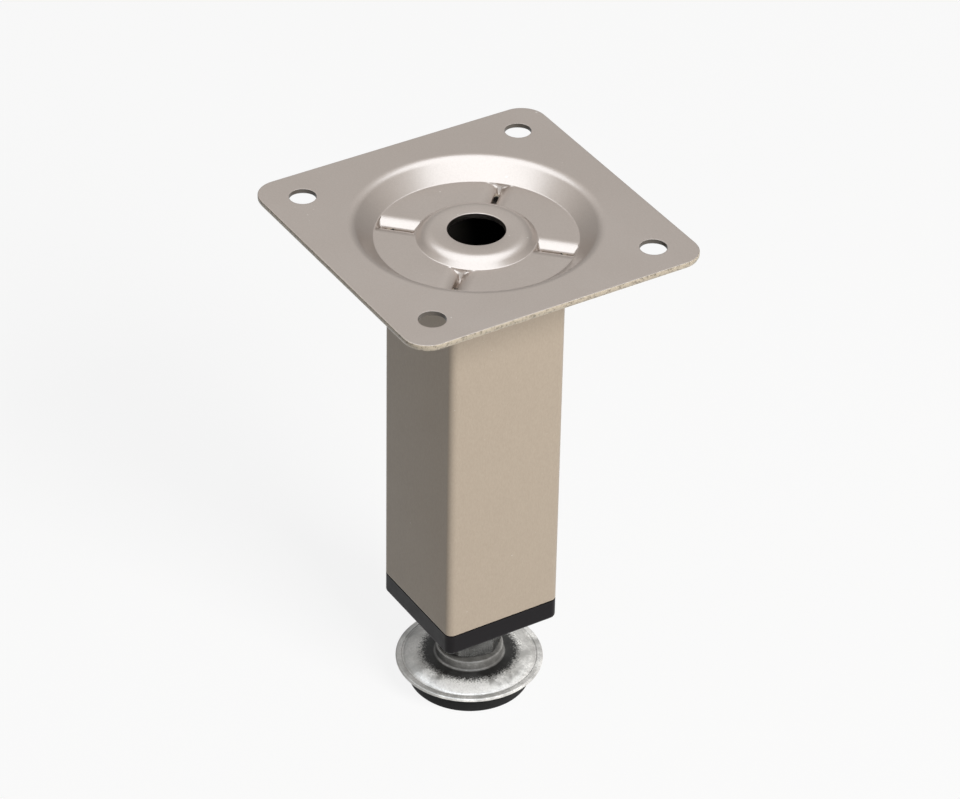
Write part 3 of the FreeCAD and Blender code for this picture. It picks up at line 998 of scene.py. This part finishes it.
def black_moulding(name, colour, dust, roughness, grain_depth, gloss):
    """Black plastic or rubber with a fine grain and a little pale dust."""
    material, tree, shader = new_material(name)
    space = object_space(tree)
    grain = noise(tree, space, grain=0.3, detail=3, roughness=0.6)
    cloud = noise(tree, space, grain=2.5, detail=4, roughness=0.7)
    base = blend_colours(tree, spread(tree, cloud, 0.6, 0.78, 0, 0.6), colour, dust)
    tree.links.new(base, shader.inputs["Base Color"])
    dusty = spread(tree, cloud, 0.3, 0.7, roughness - 0.05, roughness + 0.06)
    tree.links.new(dusty, shader.inputs["Roughness"])
    tree.links.new(bump(tree, grain, grain_depth, strength=0.5), shader.inputs["Normal"])
    shader.inputs["Specular IOR Level"].default_value = gloss
    return material


# Studio


def direction_from(azimuth, elevation):
    """Direction from the object to a place round it; azimuth 0 is in front, at -Y."""
    return Vector((
        math.sin(azimuth) * math.cos(elevation),
        -math.cos(azimuth) * math.cos(elevation),
        math.sin(elevation),
    ))


def view_axes():
    """Directions from the object to the camera, and to the right and up in the picture."""
    azimuth = math.radians(CAMERA_AZIMUTH)
    roll = math.radians(CAMERA_ROLL)
    back = direction_from(azimuth, math.radians(CAMERA_ELEVATION))
    level = Vector((math.cos(azimuth), math.sin(azimuth), 0))
    upright = back.cross(level)
    right = math.cos(roll) * level + math.sin(roll) * upright
    up = -math.sin(roll) * level + math.cos(roll) * upright
    return back, right, up


def add_camera():
    back, right, up = view_axes()
    data = bpy.data.cameras.new("camera")
    data.sensor_width = SENSOR_WIDTH
    data.lens = CAMERA_LENS
    data.clip_start = 10 * MM
    data.clip_end = 20.0
    camera = bpy.data.objects.new("camera", data)
    target = Vector((0, 0, PLATE_TOP * MM)) + CAMERA_SHIFT_RIGHT * right + CAMERA_SHIFT_UP * up
    turn = Matrix((right, up, back)).transposed()
    camera.matrix_world = Matrix.Translation(target + CAMERA_DISTANCE * back) @ turn.to_4x4()
    bpy.context.scene.collection.objects.link(camera)
    bpy.context.scene.camera = camera


def add_panel(name, place, aim, size, radiance, colour, seen_by):
    """Area lamp with its brightness given per unit of its face; place and aim are in metres."""
    data = bpy.data.lights.new(name, "AREA")
    data.shape = "RECTANGLE"
    data.size, data.size_y = size
    data.energy = radiance * math.pi * size[0] * size[1]
    data.color = colour
    lamp = bpy.data.objects.new(name, data)
    lamp.location = place
    lamp.rotation_mode = "QUATERNION"
    lamp.rotation_quaternion = (place - aim).to_track_quat("Z", "Y")
    lamp.visible_diffuse = "diffuse" in seen_by
    lamp.visible_glossy = "glossy" in seen_by
    bpy.context.scene.collection.objects.link(lamp)
    return lamp


def add_overhead(name, height, left, right, back, front, radiance, seen_by):
    """Level panel over the leg, in metres; its four sides are given as the camera sees them."""
    turn = math.radians(CAMERA_AZIMUTH)
    towards_camera = Vector((math.sin(turn), -math.cos(turn), 0))
    to_right = Vector((math.cos(turn), math.sin(turn), 0))
    below = (front - back) / 2 * towards_camera + (right - left) / 2 * to_right
    below += Vector((0, 0, PLATE_TOP * MM))
    place = below + Vector((0, 0, height))
    size = (left + right, front + back)
    lamp = add_panel(name, place, below, size, radiance, SKYLIGHT, seen_by)
    lamp.rotation_mode = "XYZ"
    lamp.rotation_euler = (0, 0, turn)


def add_side_lamp(name, azimuth, elevation, distance, aim_height, size, radiance, colour, seen_by):
    """Panel that faces the leg from a direction, as the camera does."""
    aim = Vector((0, 0, aim_height))
    place = aim + distance * direction_from(math.radians(azimuth), math.radians(elevation))
    add_panel(name, place, aim, size, radiance, colour, seen_by)


def seen_share(tree):
    """1 for rays from the camera, from a reflection or through glass, and 0 for diffuse light."""
    path = tree.nodes.new("ShaderNodeLightPath")
    total = path.outputs["Is Camera Ray"]
    for name in ("Is Glossy Ray", "Is Transmission Ray"):
        add = tree.nodes.new("ShaderNodeMath")
        add.operation = "ADD"
        add.use_clamp = True
        tree.links.new(total, add.inputs[0])
        tree.links.new(path.outputs[name], add.inputs[1])
        total = add.outputs[0]
    return total


def mix_values(tree, share, first, second):
    """Value between two others; each is a number or another node's output."""
    node = tree.nodes.new("ShaderNodeMix")
    tree.links.new(share, node.inputs["Factor"])
    for socket, value in ((node.inputs["A"], first), (node.inputs["B"], second)):
        if isinstance(value, float):
            socket.default_value = value
        else:
            tree.links.new(value, socket)
    return node.outputs["Result"]


def add_world():
    """Reflected surroundings, grey at the horizon and white above, and a plain backdrop."""
    world = bpy.data.worlds.new("studio")
    world.use_nodes = True
    tree = world.node_tree
    background = tree.nodes["Background"]
    background.inputs["Color"].default_value = (1, 1, 1, 1)
    place = tree.nodes.new("ShaderNodeTexCoord")
    axes = tree.nodes.new("ShaderNodeSeparateXYZ")
    tree.links.new(place.outputs["Generated"], axes.inputs["Vector"])
    ramp = tree.nodes.new("ShaderNodeValToRGB")
    ramp.color_ramp.elements.remove(ramp.color_ramp.elements[1])
    for index, (rise, strength) in enumerate(SKY_GREYS):
        stop = ramp.color_ramp.elements[0] if index == 0 else ramp.color_ramp.elements.new(rise)
        stop.position = rise
        stop.color = (strength, strength, strength, 1)
    tree.links.new(axes.outputs["Z"], ramp.inputs["Fac"])
    reflected = mix_values(tree, seen_share(tree), FILL_STRENGTH, ramp.outputs["Color"])
    path = tree.nodes.new("ShaderNodeLightPath")
    seen = mix_values(tree, path.outputs["Is Camera Ray"], reflected, BACKDROP_STRENGTH)
    tree.links.new(seen, background.inputs["Strength"])
    world.cycles.sampling_method = "NONE"
    bpy.context.scene.world = world


def add_floor():
    """Pale floor that keeps the leg's shadow and stays under the foot as it turns out."""
    half = FLOOR_SIZE / 2
    data = bpy.data.meshes.new("floor")
    corners = [(-half, -half, 0), (half, -half, 0), (half, half, 0), (-half, half, 0)]
    data.from_pydata(corners, [], [(0, 1, 2, 3)])
    material, tree, shader = new_material("floor_paper")
    shader.inputs["Base Color"].default_value = (FLOOR_WHITE, FLOOR_WHITE, FLOOR_WHITE, 1)
    shader.inputs["Roughness"].default_value = 0.9
    shader.inputs["Specular IOR Level"].default_value = 0.1
    glow = tree.nodes.new("ShaderNodeEmission")
    glow.inputs["Color"].default_value = (1, 1, 1, 1)
    share = spread(tree, seen_share(tree), 0, 1, 0, FLOOR_WHITE_SHARE)
    mix = tree.nodes.new("ShaderNodeMixShader")
    tree.links.new(share, mix.inputs["Fac"])
    tree.links.new(shader.outputs["BSDF"], mix.inputs[1])
    tree.links.new(glow.outputs["Emission"], mix.inputs[2])
    tree.links.new(mix.outputs["Shader"], tree.nodes["Material Output"].inputs["Surface"])
    data.materials.append(material)
    floor = bpy.data.objects.new("floor", data)
    bpy.context.scene.collection.objects.link(floor)
    # The foot stands on the floor at every pose, so the floor goes down with it
    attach(floor, "foot")


def dress_node(node, material):
    """Gives a CAD node that is shown as it is its material."""
    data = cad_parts[node].data
    data.materials.clear()
    data.materials.append(material)


add_camera()
add_world()
add_floor()
add_overhead(
    "overhead", height=0.75, left=0.55, right=0.55, back=0.68, front=1.9,
    radiance=0.12, seen_by=("diffuse", "glossy"),
)
add_overhead(
    "overhead_gleam", height=0.76, left=0.58, right=0.5, back=0.49, front=0.9,
    radiance=1.55, seen_by=("glossy",),
)
add_side_lamp(
    "front_gleam", azimuth=CAMERA_AZIMUTH, elevation=15, distance=1.7, aim_height=PLATE_TOP * MM,
    size=(1.7, 0.75), radiance=0.9, colour=SKYLIGHT, seen_by=("glossy",),
)
add_side_lamp(
    "key", azimuth=CAMERA_AZIMUTH + 40, elevation=36, distance=2.0, aim_height=60 * MM,
    size=(0.9, 0.9), radiance=22.0, colour=KEY_TINT, seen_by=("diffuse",),
)

plate_metal = plate_nickel()
tube_metal = tube_nickel()
flange_zinc = plated_flange()
stud_zinc = zinc(
    "stud_zinc", light=(0.2, 0.197, 0.19), dark=(0.07, 0.069, 0.067),
    roughness=0.26, metallic=1.0, stretch=(2.5, 2.5, 0.15),
)[0]
cap_plastic = black_moulding(
    "cap_plastic", colour=(0.009, 0.008, 0.009), dust=(0.015, 0.015, 0.016),
    roughness=0.4, grain_depth=0.01, gloss=0.12,
)
pad_rubber = black_moulding(
    "pad_rubber", colour=(0.012, 0.012, 0.012), dust=(0.05, 0.05, 0.048),
    roughness=0.6, grain_depth=0.02, gloss=0.15,
)

make_plate(plate_metal)
make_tube(tube_metal)
make_stud(stud_zinc)
make_flange(flange_zinc)
make_pad(pad_rubber)
dress_node("end_cap", cap_plastic)
dress_node("captive_nut", stud_zinc)

bpy.context.scene.view_settings.view_transform = "Standard"
